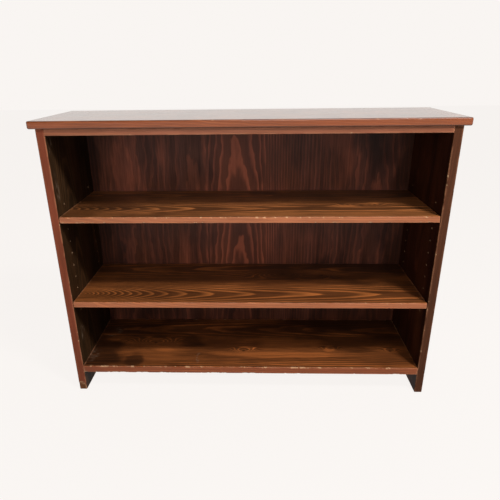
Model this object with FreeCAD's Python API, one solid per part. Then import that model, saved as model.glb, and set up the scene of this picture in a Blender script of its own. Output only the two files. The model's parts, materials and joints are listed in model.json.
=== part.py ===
import FreeCAD, Part
import os

os.makedirs("parts", exist_ok=True)

# Bookcase with two adjustable shelves, in millimetres.
# +X runs along the width, +Y to the back and +Z up. The origin is on the floor, at the centre
# of the bookcase's outer box.

# ---- driving dimensions ----
CASE_WIDTH = 1180.0        # over the outer faces of the two sides
SIDE_DEPTH = 325.0         # front edge to back edge of a side
SIDE_THICK = 25.0
TOP_Z = 907.0              # upper face of the top board
TOP_THICK = 22.0
TOP_SIDE_OVERHANG = 20.0
TOP_FRONT_OVERHANG = 7.0
SUBTOP_THICK = 19.0
BOTTOM_THICK = 25.0
BOTTOM_UNDERSIDE_Z = 72.0
SHELF_THICK = 19.0
SHELF_END_GAP = 2.0        # air between the end of an adjustable shelf and a side
SHELF_BACK_GAP = 2.0       # air between an adjustable shelf and the back panel
BACK_THICK = 6.0
BACK_RECESS = 1.0          # how far the back panel lies inside the sides' back edges
RABBET_WIDTH = 10.0        # step in each side that takes the edge of the back panel
BACK_SIDE_PLAY = 0.5       # air between the panel's edge and the wall of the rabbet

# shelf-support holes: two columns in each side, rows counted down from the top
HOLE_R = 2.5
HOLE_DEPTH = 12.0
HOLE_ROWS = 10
HOLE_TOP_Z = 654.4
HOLE_PITCH = 40.8
HOLE_FRONT_INSET = 55.0    # front column, measured from the side's front edge
HOLE_BACK_INSET = 273.0    # back column
UPPER_SHELF_ROW = 1        # the row that carries the upper shelf
LOWER_SHELF_ROW = 8        # the row that carries the lower shelf

# angle-shaped shelf support
PIN_ABOVE_LEDGE = 5.0      # centre of the pin above the face that the shelf rests on
PIN_R = 2.45
PIN_LENGTH = 10.0
SUPPORT_WIDTH = 16.0
SUPPORT_PLATE = 1.2
SUPPORT_HEIGHT = 14.0      # plate's top above the ledge
LEDGE_THICK = 1.5
LEDGE_REACH = 14.0
LEDGE_CORNER_R = 3.0

# edges
ARRIS_R = 1.5
SIDE_ARRIS_R = 2.0
FOOT_ARRIS_R = 1.5         # round the bottom end of each side
TOP_EDGE_R = 4.5
TOP_CORNER_R = 6.0

# dowels that join the fixed boards to the sides
DOWEL_LENGTH = 38.0
DOWEL_IN_SIDE = 15.0
DOWEL_CHAMFER = 1.0
SUBTOP_DOWEL_R = 4.0
BOTTOM_DOWEL_R = 5.0
DOWEL_HOLE_EXTRA = 1.0     # empty depth past each end of a dowel
SUBTOP_DOWELS = 3
BOTTOM_DOWELS = 4
DOWEL_EDGE = 40.0          # first and last dowel, from the board's front and back edges
FIT = 0.05                 # air all round a dowel, screw or nail in its hole

# screws that hold the top board, driven up through the subtop
SCREW_R = 2.0
SCREW_HEAD_R = 4.0
SCREW_HEAD_H = 2.4
SCREW_LENGTH = 35.0
SCREW_COLUMNS = 4
SCREW_END_INSET = 90.0
SCREW_EDGE_INSET = 45.0
SCREW_SLOT_R = 1.6         # square recess in the head
SCREW_SLOT_DEPTH = 1.5
TIP_ROOM = 1.0             # empty depth past the tip of a screw or nail

# nails round the back panel
NAIL_R = 0.8
NAIL_HEAD_R = 1.9
NAIL_HEAD_H = 0.5
NAIL_LENGTH = 24.0
NAIL_COLUMNS = 8
NAIL_ROWS = 6
NAIL_END_MARGIN = 60.0

# ---- places worked out from them ----
HALF_CASE = CASE_WIDTH / 2
HALF_INSIDE = HALF_CASE - SIDE_THICK
DEPTH = SIDE_DEPTH + TOP_FRONT_OVERHANG
FRONT_Y = -DEPTH / 2 + TOP_FRONT_OVERHANG
BACK_Y = DEPTH / 2
PANEL_BACK_Y = BACK_Y - BACK_RECESS
PANEL_FRONT_Y = PANEL_BACK_Y - BACK_THICK
TOP_UNDERSIDE_Z = TOP_Z - TOP_THICK
SUBTOP_UNDERSIDE_Z = TOP_UNDERSIDE_Z - SUBTOP_THICK
FIXED_DEPTH = PANEL_FRONT_Y - FRONT_Y
SHELF_DEPTH = FIXED_DEPTH - SHELF_BACK_GAP
HALF_SHELF = HALF_INSIDE - SHELF_END_GAP
COLUMN_Y = {"front": FRONT_Y + HOLE_FRONT_INSET, "back": FRONT_Y + HOLE_BACK_INSET}
SIDE_SIGN = {"left": -1, "right": 1}

X_AXIS = FreeCAD.Vector(1, 0, 0)
Y_AXIS = FreeCAD.Vector(0, 1, 0)
Z_AXIS = FreeCAD.Vector(0, 0, 1)


def row_z(row):
    """Height of a row of support holes."""
    return HOLE_TOP_Z - row * HOLE_PITCH


def rest_z(row):
    """Underside of a shelf that rests on supports in this row."""
    return row_z(row) - PIN_ABOVE_LEDGE


def spread(first, last, count):
    """Evenly spaced places from first to last."""
    return [first + (last - first) * i / (count - 1) for i in range(count)]


def board(x0, x1, y0, y1, z0, z1):
    """A plain board between two opposite corners."""
    return Part.makeBox(x1 - x0, y1 - y0, z1 - z0, FreeCAD.Vector(x0, y0, z0))


def rod(radius, start, axis, length):
    """A round bar from a start point along an axis."""
    return Part.makeCylinder(radius, length, start, axis)


def edges_along(shape, axis, keep):
    """The straight edges that run along an axis and whose middle passes a test."""
    found = []
    for edge in shape.Edges:
        if len(edge.Vertexes) < 2:
            continue
        run = edge.Vertexes[1].Point - edge.Vertexes[0].Point
        if run.Length > 0 and abs(run.normalize().dot(axis)) > 0.999:
            if keep(edge.BoundBox.Center):
                found.append(edge)
    return found


# ---- support holes, dowels, screws and nails: where they are ----
def support_holes(side):
    """The drilled rows of shelf-support holes in one side."""
    sign = SIDE_SIGN[side]
    holes = []
    for y in COLUMN_Y.values():
        for row in range(HOLE_ROWS):
            mouth = FreeCAD.Vector(sign * HALF_INSIDE, y, row_z(row))
            holes.append(rod(HOLE_R, mouth, X_AXIS * sign, HOLE_DEPTH))
    return holes


def dowel_places(count, z, sign):
    """Inner starts of the dowels at one end of a fixed board."""
    ys = spread(FRONT_Y + DOWEL_EDGE, PANEL_FRONT_Y - DOWEL_EDGE, count)
    start_x = sign * (HALF_INSIDE + DOWEL_IN_SIDE - DOWEL_LENGTH)
    return [FreeCAD.Vector(start_x, y, z) for y in ys]


def dowels(radius, count, z, sign):
    """Round dowels with chamfered ends, half in the board and half in the side."""
    made = []
    for start in dowel_places(count, z, sign):
        dowel = rod(radius, start, X_AXIS * sign, DOWEL_LENGTH)
        rims = [e for e in dowel.Edges if e.Closed]
        made.append(dowel.makeChamfer(DOWEL_CHAMFER, rims))
    return made


def dowel_holes(radius, count, z, sign):
    """The blind holes for those dowels, through the joint's face."""
    lead = X_AXIS * (sign * DOWEL_HOLE_EXTRA)
    length = DOWEL_LENGTH + 2 * DOWEL_HOLE_EXTRA
    starts = dowel_places(count, z, sign)
    return [rod(radius + FIT, s - lead, X_AXIS * sign, length) for s in starts]


SUBTOP_DOWEL_Z = SUBTOP_UNDERSIDE_Z + SUBTOP_THICK / 2
BOTTOM_DOWEL_Z = BOTTOM_UNDERSIDE_Z + BOTTOM_THICK / 2


def screw_places():
    """Centres of the top-board screws, at the subtop's underside."""
    xs = spread(-HALF_INSIDE + SCREW_END_INSET, HALF_INSIDE - SCREW_END_INSET, SCREW_COLUMNS)
    ys = [FRONT_Y + SCREW_EDGE_INSET, PANEL_FRONT_Y - SCREW_EDGE_INSET]
    return [FreeCAD.Vector(x, y, SUBTOP_UNDERSIDE_Z) for x in xs for y in ys]


def screw_form(place, extra, tip_extra):
    """A countersunk screw, or with some air added the hole that takes it."""
    head = Part.makeCone(SCREW_HEAD_R + extra, SCREW_R + extra, SCREW_HEAD_H, place, Z_AXIS)
    shank = rod(SCREW_R + extra, place, Z_AXIS, SCREW_LENGTH + tip_extra)
    return head.fuse(shank).removeSplitter()


def screw_holes():
    """The countersunk holes that take the screws."""
    return [screw_form(p, FIT, TIP_ROOM) for p in screw_places()]


def top_screws():
    """The screws themselves, each with a square recess in its head."""
    made = []
    for place in screw_places():
        recess = board(
            place.x - SCREW_SLOT_R, place.x + SCREW_SLOT_R,
            place.y - SCREW_SLOT_R, place.y + SCREW_SLOT_R,
            place.z, place.z + SCREW_SLOT_DEPTH,
        )
        made.append(screw_form(place, 0.0, 0.0).cut(recess))
    return made


def nail_places():
    """Centres of the nails on the back face of the panel."""
    half = HALF_INSIDE + RABBET_WIDTH / 2
    low_z = BOTTOM_DOWEL_Z
    high_z = SUBTOP_DOWEL_Z
    places = []
    for x in spread(-HALF_INSIDE + NAIL_END_MARGIN, HALF_INSIDE - NAIL_END_MARGIN, NAIL_COLUMNS):
        places += [(x, low_z), (x, high_z)]
    for z in spread(low_z + NAIL_END_MARGIN, high_z - NAIL_END_MARGIN, NAIL_ROWS):
        places += [(-half, z), (half, z)]
    return [FreeCAD.Vector(x, PANEL_BACK_Y, z) for x, z in places]


def nail_holes():
    """Pilot holes for the nails, through the panel and into the boards."""
    return [rod(NAIL_R + FIT, p, -Y_AXIS, NAIL_LENGTH + TIP_ROOM) for p in nail_places()]


def back_nails():
    """Flat-headed nails, their heads on the panel's back face."""
    made = []
    for place in nail_places():
        shank = rod(NAIL_R, place, -Y_AXIS, NAIL_LENGTH)
        head = rod(NAIL_HEAD_R, place, Y_AXIS, NAIL_HEAD_H)
        made.append(head.fuse(shank).removeSplitter())
    return made


# ---- the boards ----
def side_board(side):
    """One side: a standing board with rounded front edges, a rabbet and its holes."""
    sign = SIDE_SIGN[side]
    low_x, high_x = sorted([sign * HALF_INSIDE, sign * HALF_CASE])
    blank = board(low_x, high_x, FRONT_Y, BACK_Y, 0.0, TOP_UNDERSIDE_Z)
    blank = blank.makeFillet(SIDE_ARRIS_R, edges_along(blank, Z_AXIS, lambda c: c.y < 0))
    foot_rim = [e for e in blank.Edges if e.BoundBox.ZMax < 0.01]
    blank = blank.makeFillet(FOOT_ARRIS_R, foot_rim)
    step_x = sorted([sign * HALF_INSIDE, sign * (HALF_INSIDE + RABBET_WIDTH)])
    rabbet = board(step_x[0], step_x[1], PANEL_FRONT_Y, BACK_Y, 0.0, TOP_UNDERSIDE_Z)
    tools = [rabbet]
    tools += support_holes(side)
    tools += dowel_holes(SUBTOP_DOWEL_R, SUBTOP_DOWELS, SUBTOP_DOWEL_Z, sign)
    tools += dowel_holes(BOTTOM_DOWEL_R, BOTTOM_DOWELS, BOTTOM_DOWEL_Z, sign)
    tools += nail_holes()
    return blank.cut(tools)


def top_board():
    """The top: a wide board with a rounded edge at the front and both ends."""
    half = HALF_CASE + TOP_SIDE_OVERHANG
    blank = board(-half, half, -DEPTH / 2, BACK_Y, TOP_UNDERSIDE_Z, TOP_Z)
    blank = blank.makeFillet(TOP_CORNER_R, edges_along(blank, Z_AXIS, lambda c: c.y < 0))
    rims = [
        e for e in blank.Edges
        if e.BoundBox.ZLength < 0.01 and e.BoundBox.Center.y < BACK_Y - 1.0
    ]
    blank = blank.makeFillet(TOP_EDGE_R, rims)
    return blank.cut(screw_holes())


def fixed_board(z0, thick, dowel_r, dowel_count):
    """A board between the sides, flush with their fronts and doweled at both ends."""
    blank = board(-HALF_INSIDE, HALF_INSIDE, FRONT_Y, PANEL_FRONT_Y, z0, z0 + thick)
    blank = blank.makeFillet(ARRIS_R, edges_along(blank, X_AXIS, lambda c: c.y < 0))
    tools = nail_holes()
    for sign in SIDE_SIGN.values():
        tools += dowel_holes(dowel_r, dowel_count, z0 + thick / 2, sign)
    return blank.cut(tools)


def subtop():
    """The fixed board under the top, with countersunk holes for the top's screws."""
    blank = fixed_board(SUBTOP_UNDERSIDE_Z, SUBTOP_THICK, SUBTOP_DOWEL_R, SUBTOP_DOWELS)
    return blank.cut(screw_holes())


def bottom_shelf():
    """The fixed lowest shelf."""
    return fixed_board(BOTTOM_UNDERSIDE_Z, BOTTOM_THICK, BOTTOM_DOWEL_R, BOTTOM_DOWELS)


def adjustable_shelf(row):
    """A loose shelf that lies on four supports."""
    z0 = rest_z(row)
    back = FRONT_Y + SHELF_DEPTH
    blank = board(-HALF_SHELF, HALF_SHELF, FRONT_Y, back, z0, z0 + SHELF_THICK)
    return blank.makeFillet(ARRIS_R, edges_along(blank, X_AXIS, lambda c: True))


def back_panel():
    """A thin panel in the sides' rabbets, behind both fixed boards."""
    half = HALF_INSIDE + RABBET_WIDTH - BACK_SIDE_PLAY
    low = BOTTOM_UNDERSIDE_Z
    blank = board(-half, half, PANEL_FRONT_Y, PANEL_BACK_Y, low, TOP_UNDERSIDE_Z)
    return blank.cut(nail_holes())


def shelf_support(side, column, row):
    """An angle of pressed metal: a plate, a ledge for the shelf and a pin."""
    sign = SIDE_SIGN[side]
    y = COLUMN_Y[column]
    z = rest_z(row)
    wall = sign * HALF_INSIDE
    plate_x = sorted([wall, wall - sign * SUPPORT_PLATE])
    ledge_x = sorted([wall, wall - sign * LEDGE_REACH])
    half = SUPPORT_WIDTH / 2
    plate = board(
        plate_x[0], plate_x[1], y - half, y + half, z - LEDGE_THICK, z + SUPPORT_HEIGHT
    )
    top_corners = edges_along(plate, X_AXIS, lambda c: c.z > z)
    plate = plate.makeFillet(LEDGE_CORNER_R, top_corners)
    ledge = board(ledge_x[0], ledge_x[1], y - half, y + half, z - LEDGE_THICK, z)
    tip = edges_along(ledge, Z_AXIS, lambda c: abs(c.x) < HALF_INSIDE - LEDGE_REACH / 2)
    ledge = ledge.makeFillet(LEDGE_CORNER_R, tip)
    start = FreeCAD.Vector(wall - sign * SUPPORT_PLATE / 2, y, row_z(row))
    pin = rod(PIN_R, start, X_AXIS * sign, PIN_LENGTH + SUPPORT_PLATE / 2)
    return plate.fuse([ledge, pin]).removeSplitter()


# ---- write one file for each node ----
def write(name, shape):
    """Export one node and print its size."""
    shape.exportStep(f"parts/{name}.step")
    size = shape.BoundBox
    print(
        f"{name}: {size.XLength:.1f} x {size.YLength:.1f} x {size.ZLength:.1f},",
        f"{len(shape.Solids)} solid(s), valid {shape.isValid()}",
    )


def both_ends(radius, count, z):
    """A group of dowels for the two ends of a fixed board."""
    return Part.Compound([d for s in SIDE_SIGN.values() for d in dowels(radius, count, z, s)])


write("top_board", top_board())
write("subtop", subtop())
write("left_side", side_board("left"))
write("right_side", side_board("right"))
write("bottom_shelf", bottom_shelf())
write("back_panel", back_panel())
write("subtop_dowels", both_ends(SUBTOP_DOWEL_R, SUBTOP_DOWELS, SUBTOP_DOWEL_Z))
write("bottom_shelf_dowels", both_ends(BOTTOM_DOWEL_R, BOTTOM_DOWELS, BOTTOM_DOWEL_Z))
write("top_screws", Part.Compound(top_screws()))
write("back_nails", Part.Compound(back_nails()))
for shelf, row in (("upper", UPPER_SHELF_ROW), ("lower", LOWER_SHELF_ROW)):
    write(f"{shelf}_shelf", adjustable_shelf(row))
    for side in SIDE_SIGN:
        for column in COLUMN_Y:
            write(f"{shelf}_{side}_{column}_support", shelf_support(side, column, row))
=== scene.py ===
# %% [markdown]
# A bookcase in stained softwood: an overhanging top, two sides that stand on the floor, a fixed
# bottom shelf and two loose shelves on metal supports. The frame that is loaded here says where
# every board is. This lesson planes new boards in the same places, wears their edges, and gives
# each one its own grain.

# %% Load the frame
import json
import math

import bmesh
import bpy
from mathutils import Matrix, Vector

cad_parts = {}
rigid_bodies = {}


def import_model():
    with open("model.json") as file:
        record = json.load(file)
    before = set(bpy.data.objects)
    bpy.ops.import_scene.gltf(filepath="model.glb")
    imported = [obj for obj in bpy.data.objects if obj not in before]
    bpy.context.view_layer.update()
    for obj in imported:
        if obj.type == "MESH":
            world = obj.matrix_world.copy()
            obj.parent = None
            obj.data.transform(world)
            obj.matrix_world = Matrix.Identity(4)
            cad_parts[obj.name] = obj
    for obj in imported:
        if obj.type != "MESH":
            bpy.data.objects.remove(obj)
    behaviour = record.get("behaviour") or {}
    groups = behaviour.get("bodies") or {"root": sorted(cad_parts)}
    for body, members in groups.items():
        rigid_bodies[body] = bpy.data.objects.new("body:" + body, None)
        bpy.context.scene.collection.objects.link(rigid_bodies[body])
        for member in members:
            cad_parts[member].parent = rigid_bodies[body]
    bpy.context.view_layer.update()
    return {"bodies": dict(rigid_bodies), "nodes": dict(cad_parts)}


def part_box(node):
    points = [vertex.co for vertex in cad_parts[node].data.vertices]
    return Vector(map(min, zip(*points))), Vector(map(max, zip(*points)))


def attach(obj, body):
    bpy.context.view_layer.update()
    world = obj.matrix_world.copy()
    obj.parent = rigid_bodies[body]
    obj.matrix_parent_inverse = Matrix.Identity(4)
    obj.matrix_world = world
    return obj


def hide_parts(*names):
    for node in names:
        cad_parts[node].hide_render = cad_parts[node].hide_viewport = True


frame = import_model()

scene = bpy.context.scene
print("nodes:", len(frame["nodes"]))

# %% [markdown]
# The camera stands a little right of the middle, at chest height, and looks down at the shelves.
# A turn about Z, then a tilt, then a small roll is easier to read than three mixed angles.
# The sideways shift only centres the bookcase in a square frame.

# %% Camera
EYE = Vector((0.0302, -1.4498, 1.0359))
TURN_DEG = 1.90
TILT_DEG = -21.66
ROLL_DEG = 0.72
LENS_MM = 32.96
SHIFT_X = 0.0131

camera_data = bpy.data.cameras.new("camera")
camera_data.lens = LENS_MM
camera_data.shift_x = SHIFT_X
camera = bpy.data.objects.new("camera", camera_data)
camera.matrix_world = (
    Matrix.Translation(EYE)
    @ Matrix.Rotation(math.radians(TURN_DEG), 4, "Z")
    @ Matrix.Rotation(math.radians(90 + TILT_DEG), 4, "X")
    @ Matrix.Rotation(math.radians(-ROLL_DEG), 4, "Z")
)
scene.collection.objects.link(camera)
scene.camera = camera
print("camera at", [round(v, 3) for v in EYE])

# %% [markdown]
# Materials and node trees are both graphs, and writing every node out by hand takes many lines.
# A small helper adds a node, feeds its sockets with numbers or with other sockets, and hands back
# the result, so that the recipes below read like sums.


# %% A helper for node graphs
class Graph:
    """Adds nodes to one tree and joins them."""

    def __init__(self, tree):
        self.tree = tree

    def feed(self, socket, value):
        """Join a socket to another, or give it a plain value."""
        if isinstance(value, bpy.types.NodeSocket):
            self.tree.links.new(value, socket)
        else:
            socket.default_value = value

    def add(self, kind, *values, **settings):
        """A new node with its settings and, in order, the values of its first inputs."""
        node = self.tree.nodes.new(kind)
        for key, value in settings.items():
            setattr(node, key, value)
        for socket, value in zip(node.inputs, values):
            self.feed(socket, value)
        return node

    def math(self, operation, *values, clamp=False):
        """One sum on plain numbers."""
        return self.add("ShaderNodeMath", *values, operation=operation, use_clamp=clamp).outputs[0]

    def vector(self, operation, *values):
        """One sum on vectors. A length is a number."""
        node = self.add("ShaderNodeVectorMath", *values, operation=operation)
        return node.outputs["Value" if operation == "LENGTH" else "Vector"]

    def scale(self, vector, amount):
        """A vector made longer or shorter."""
        scaled = self.vector("SCALE", vector)
        self.feed(scaled.node.inputs["Scale"], amount)
        return scaled

    def join(self, x, y, z):
        """Three numbers as a vector."""
        return self.add("ShaderNodeCombineXYZ", x, y, z).outputs[0]

    def split(self, vector):
        """A vector as three numbers."""
        return self.add("ShaderNodeSeparateXYZ", vector).outputs[:]

    def ramp(self, value, low, high, to_low=0.0, to_high=1.0):
        """A smooth step: to_low under low, to_high over high."""
        node = self.add("ShaderNodeMapRange", interpolation_type="SMOOTHSTEP")
        for name, v in zip(
            ("Value", "From Min", "From Max", "To Min", "To Max"),
            (value, low, high, to_low, to_high),
        ):
            self.feed(node.inputs[name], v)
        return node.outputs["Result"]

    def noise(self, vector, stretch, detail=2.0, seed=0.0):
        """Cloudy noise about 0.5, with its own scale along each axis."""
        moved = self.vector("MULTIPLY_ADD", vector, stretch, (seed, seed * 0.7, seed * 0.4))
        node = self.add("ShaderNodeTexNoise", noise_dimensions="3D")
        self.feed(node.inputs["Vector"], moved)
        self.feed(node.inputs["Scale"], 1.0)
        self.feed(node.inputs["Detail"], detail)
        return node.outputs["Fac"]

    def blend(self, share, first, second):
        """Two colours mixed by a share."""
        node = self.add("ShaderNodeMix", data_type="RGBA")
        self.feed(node.inputs["Factor"], share)
        for name, colour in (("A", first), ("B", second)):
            self.feed(node.inputs[name], (*colour, 1.0) if isinstance(colour, tuple) else colour)
        return next(s for s in node.outputs if s.type == "RGBA")


print("the helper can:", [name for name in vars(Graph) if not name.startswith("_")])

# %% [markdown]
# A modifier is a recipe that waits, and a mesh is the result. The pieces here are kept as plain
# meshes, so the first helper below takes what the modifiers make and drops them. The others put
# a finished bmesh into the scene, start a material, and end one in a shader with a little relief.


# %% Plain meshes, new pieces and materials
def plain_mesh(piece):
    """Turn what the modifiers make into the piece's own mesh, and drop the modifiers."""
    depsgraph = bpy.context.evaluated_depsgraph_get()
    depsgraph.update()
    made = bpy.data.meshes.new_from_object(piece.evaluated_get(depsgraph))
    piece.modifiers.clear()
    piece.data = made
    made.name = piece.name
    return piece


def new_piece(name, bm):
    """A linked object for a finished bmesh."""
    mesh = bpy.data.meshes.new(name)
    bm.to_mesh(mesh)
    bm.free()
    piece = bpy.data.objects.new(name, mesh)
    scene.collection.objects.link(piece)
    return piece


def new_material(name):
    """An empty material, and the helper on its tree."""
    material = bpy.data.materials.new(name)
    material.use_nodes = True
    material.node_tree.nodes.clear()
    return material, Graph(material.node_tree)


def surface(g, relief, strength, depth, sockets):
    """End a material: feed the shader's sockets and bump it by the relief."""
    bump = g.add("ShaderNodeBump")
    for name, value in (("Strength", strength), ("Distance", depth), ("Height", relief)):
        g.feed(bump.inputs[name], value)
    shader = g.add("ShaderNodeBsdfPrincipled")
    for name, value in {**sockets, "Normal": bump.outputs[0]}.items():
        g.feed(shader.inputs[name], value)
    g.add("ShaderNodeOutputMaterial", shader.outputs[0])


# %% [markdown]
# Every board begins as a prism: a flat outline pushed along its grain. Its edges are rounded with
# a bevel, as a plane or a sander takes them off, and then the long faces are sliced every few
# millimetres, because wear needs points to move. Only the rounded strips are shaded smooth, so
# that the broad faces stay flat.

# %% Planing a board
SLICE = 0.003
GUARD = 0.005
NEAR = 0.001
FLAT_FROM = 0.999


def prism(outline, along, low, high):
    """A closed bmesh: an outline pushed along X or Z."""
    def place(a, b, s):
        return (s, a, b) if along == "X" else (a, b, s)

    bm = bmesh.new()
    start = [bm.verts.new(place(a, b, low)) for a, b in outline]
    end = [bm.verts.new(place(a, b, high)) for a, b in outline]
    bm.faces.new(start)
    bm.faces.new(end)
    for i in range(len(outline)):
        j = (i + 1) % len(outline)
        bm.faces.new((start[i], start[j], end[j], end[i]))
    bmesh.ops.recalc_face_normals(bm, faces=bm.faces)
    return bm


def round_edges(bm, radius, segments, keep):
    """Round the edges whose middle and direction pass a test."""
    picked = []
    for edge in bm.edges:
        a, b = (v.co for v in edge.verts)
        if keep((a + b) / 2, (b - a).normalized()):
            picked.append(edge)
    bmesh.ops.bevel(
        bm, geom=picked, offset=radius, offset_type="OFFSET",
        segments=segments, profile=0.5, affect="EDGES",
    )


def slice_along(bm, along):
    """Divide the long faces into short strips across the grain."""
    axis = "XYZ".index(along)
    longest = max(e.calc_length() for e in bm.edges)
    picked = []
    for edge in bm.edges:
        run = edge.verts[1].co - edge.verts[0].co
        if abs(run[axis]) > 0.9 * longest:
            picked.append(edge)
    cuts = int(longest / SLICE)
    bmesh.ops.subdivide_edges(bm, edges=picked, cuts=cuts, use_grid_fill=True)


def corners(verts):
    """The lowest and the highest corner of some vertices."""
    low = Vector([min(v.co[i] for v in verts) for i in range(3)])
    high = Vector([max(v.co[i] for v in verts) for i in range(3)])
    return low, high


def guard_lines(bm):
    """Cut a line just inside every face's rim, so that wear at an arris stays at the arris."""
    low, high = corners(bm.verts)
    for i in range(3):
        along = Vector([float(i == j) for j in range(3)])
        for place in (low + GUARD * along, high - GUARD * along):
            everything = bm.verts[:] + bm.edges[:] + bm.faces[:]
            bmesh.ops.bisect_plane(bm, geom=everything, plane_co=place, plane_no=along)


def smooth_rounds(bm):
    """Shade only the rounded strips smooth."""
    for face in bm.faces:
        face.smooth = max(abs(c) for c in face.normal) < FLAT_FROM


print("boards are sliced every", SLICE * 1000, "mm")

# %% [markdown]
# Real wear isn't even. A nick is where something struck the edge, so noise decides where nicks
# fall, and how near a point is to two faces at once decides how much it can lose. Geometry Nodes
# suit this: one tree serves every board, with a seed for each. The tree also stores three
# attributes on each point, and the finish reads them later: how bare the wood is where it was
# struck, how raw it is in a chip, and how near the point is to an arris.

# %% A tree that wears edges
LUMP_STRETCH = (1.0, 1.6, 1.6)
SEED_SKEW = 0.37
RAGGEDNESS = 0.7
NICK_FROM = 0.78
NICK_FADE = 0.06
NICK_DEPTH = 0.0012
NICK_LENGTH = 0.014
CHIP_EDGE = (0.82, 1.0)
CHIP_RIM = (0.74, 0.90)
RIM_STRENGTH = 0.6
WEAR_REACH = 0.0035


def geometry_tree(name, inputs):
    """An empty tree with a geometry in and out, and named inputs."""
    tree = bpy.data.node_groups.new(name, "GeometryNodeTree")
    tree.interface.new_socket("Geometry", in_out="INPUT", socket_type="NodeSocketGeometry")
    for label, kind in inputs.items():
        tree.interface.new_socket(label, in_out="INPUT", socket_type="NodeSocket" + kind)
    tree.interface.new_socket("Geometry", in_out="OUTPUT", socket_type="NodeSocketGeometry")
    graph = Graph(tree)
    source = graph.add("NodeGroupInput").outputs
    sink = graph.add("NodeGroupOutput").inputs
    return tree, graph, source, sink


def run_tree(piece, tree, **values):
    """Run a tree on a piece with its inputs set by identifier, and keep the plain mesh."""
    modifier = piece.modifiers.new(tree.name, "NODES")
    modifier.node_group = tree
    for item in tree.interface.items_tree:
        key = item.name.lower().replace(" ", "_")
        if item.in_out == "INPUT" and key in values:
            modifier[item.identifier] = values[key]
    return plain_mesh(piece)


def make_wear_tree():
    """Nicks along the arrises, and one chip at a chosen place."""
    tree, g, given, out = geometry_tree("edge_wear", {
        "Low": "Vector", "High": "Vector", "Reach": "Float", "Nick Depth": "Float",
        "Nick Length": "Float", "Nick Share": "Float", "Seed": "Float",
        "Chip At": "Vector", "Chip Reach": "Vector", "Chip Depth": "Float",
    })
    here = g.add("GeometryNodeInputPosition").outputs[0]
    normal = g.add("GeometryNodeInputNormal").outputs[0]
    from_low = g.vector("SUBTRACT", here, given["Low"])
    from_high = g.vector("SUBTRACT", given["High"], here)
    x, y, z = g.split(g.vector("MINIMUM", from_low, from_high))
    nearest = g.math("MINIMUM", g.math("MINIMUM", x, y), z)
    farthest = g.math("MAXIMUM", g.math("MAXIMUM", x, y), z)
    total = g.math("ADD", g.math("ADD", x, y), z)
    second = g.math("SUBTRACT", g.math("SUBTRACT", total, nearest), farthest)
    arris = g.math("SUBTRACT", 1.0, g.math("DIVIDE", second, given["Reach"]), clamp=True)

    scaled = g.scale(here, g.math("DIVIDE", 1.0, given["Nick Length"]))
    lump = g.noise(scaled, LUMP_STRETCH)
    shift = g.join(given["Seed"], g.math("MULTIPLY", given["Seed"], SEED_SKEW), given["Seed"])
    g.feed(lump.node.inputs["Vector"].links[0].from_node.inputs[2], shift)
    start = g.math("SUBTRACT", NICK_FROM, given["Nick Share"])
    struck = g.ramp(lump, start, g.math("ADD", start, NICK_FADE))
    nick = g.math("MULTIPLY", struck, arris)

    offset = g.vector("DIVIDE", g.vector("SUBTRACT", here, given["Chip At"]), given["Chip Reach"])
    ragged = g.math("MULTIPLY", g.math("SUBTRACT", lump, 0.5), RAGGEDNESS)
    spread = g.math("ADD", g.vector("LENGTH", offset), ragged)
    chip = g.ramp(spread, *CHIP_EDGE, 1.0, 0.0)
    rim = g.math("MULTIPLY", chip, g.ramp(spread, *CHIP_RIM, 0.0, RIM_STRENGTH))

    loss = g.math("ADD", g.math("MULTIPLY", nick, given["Nick Depth"]),
                  g.math("MULTIPLY", chip, given["Chip Depth"]))
    inward = g.scale(normal, g.math("MULTIPLY", loss, -1.0))
    moved = g.add("GeometryNodeSetPosition", given["Geometry"])
    g.feed(moved.inputs["Offset"], inward)

    current = moved.outputs[0]
    amounts = {"bare": g.math("MAXIMUM", nick, rim), "raw": chip, "arris": arris}
    for label, amount in amounts.items():
        before = g.add("GeometryNodeInputNamedAttribute", label, data_type="FLOAT").outputs[0]
        store = g.add("GeometryNodeStoreNamedAttribute", current, data_type="FLOAT", domain="POINT")
        g.feed(store.inputs["Name"], label)
        g.feed(store.inputs["Value"], g.math("MAXIMUM", before, amount))
        current = store.outputs[0]
    g.feed(out[0], current)
    return tree


wear_tree = make_wear_tree()
NOWHERE = (0.0, 0.0, -9.0)


def wear(piece, seed, share, depth=NICK_DEPTH, length=NICK_LENGTH, chip=NOWHERE,
         chip_reach=(1.0, 1.0, 1.0), chip_depth=0.0):
    """Nick the arrises of a board, and take a chip out of it where one is asked for."""
    low, high = corners(piece.data.vertices)
    return run_tree(
        piece, wear_tree, low=list(low), high=list(high), reach=WEAR_REACH, nick_depth=depth,
        nick_length=length, nick_share=share, seed=seed, chip_at=chip,
        chip_reach=chip_reach, chip_depth=chip_depth,
    )


print("edge wear tree:", len(wear_tree.nodes), "nodes")

# %% [markdown]
# Holes, their pale mouths and the nails all stand in rows. One tree sets them out: it takes a
# single item and repeats it on a grid given by two steps and two counts, and by chance it turns
# each one and sinks it a little. The instances are realized at the end, so that the result is
# real faces.


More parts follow.
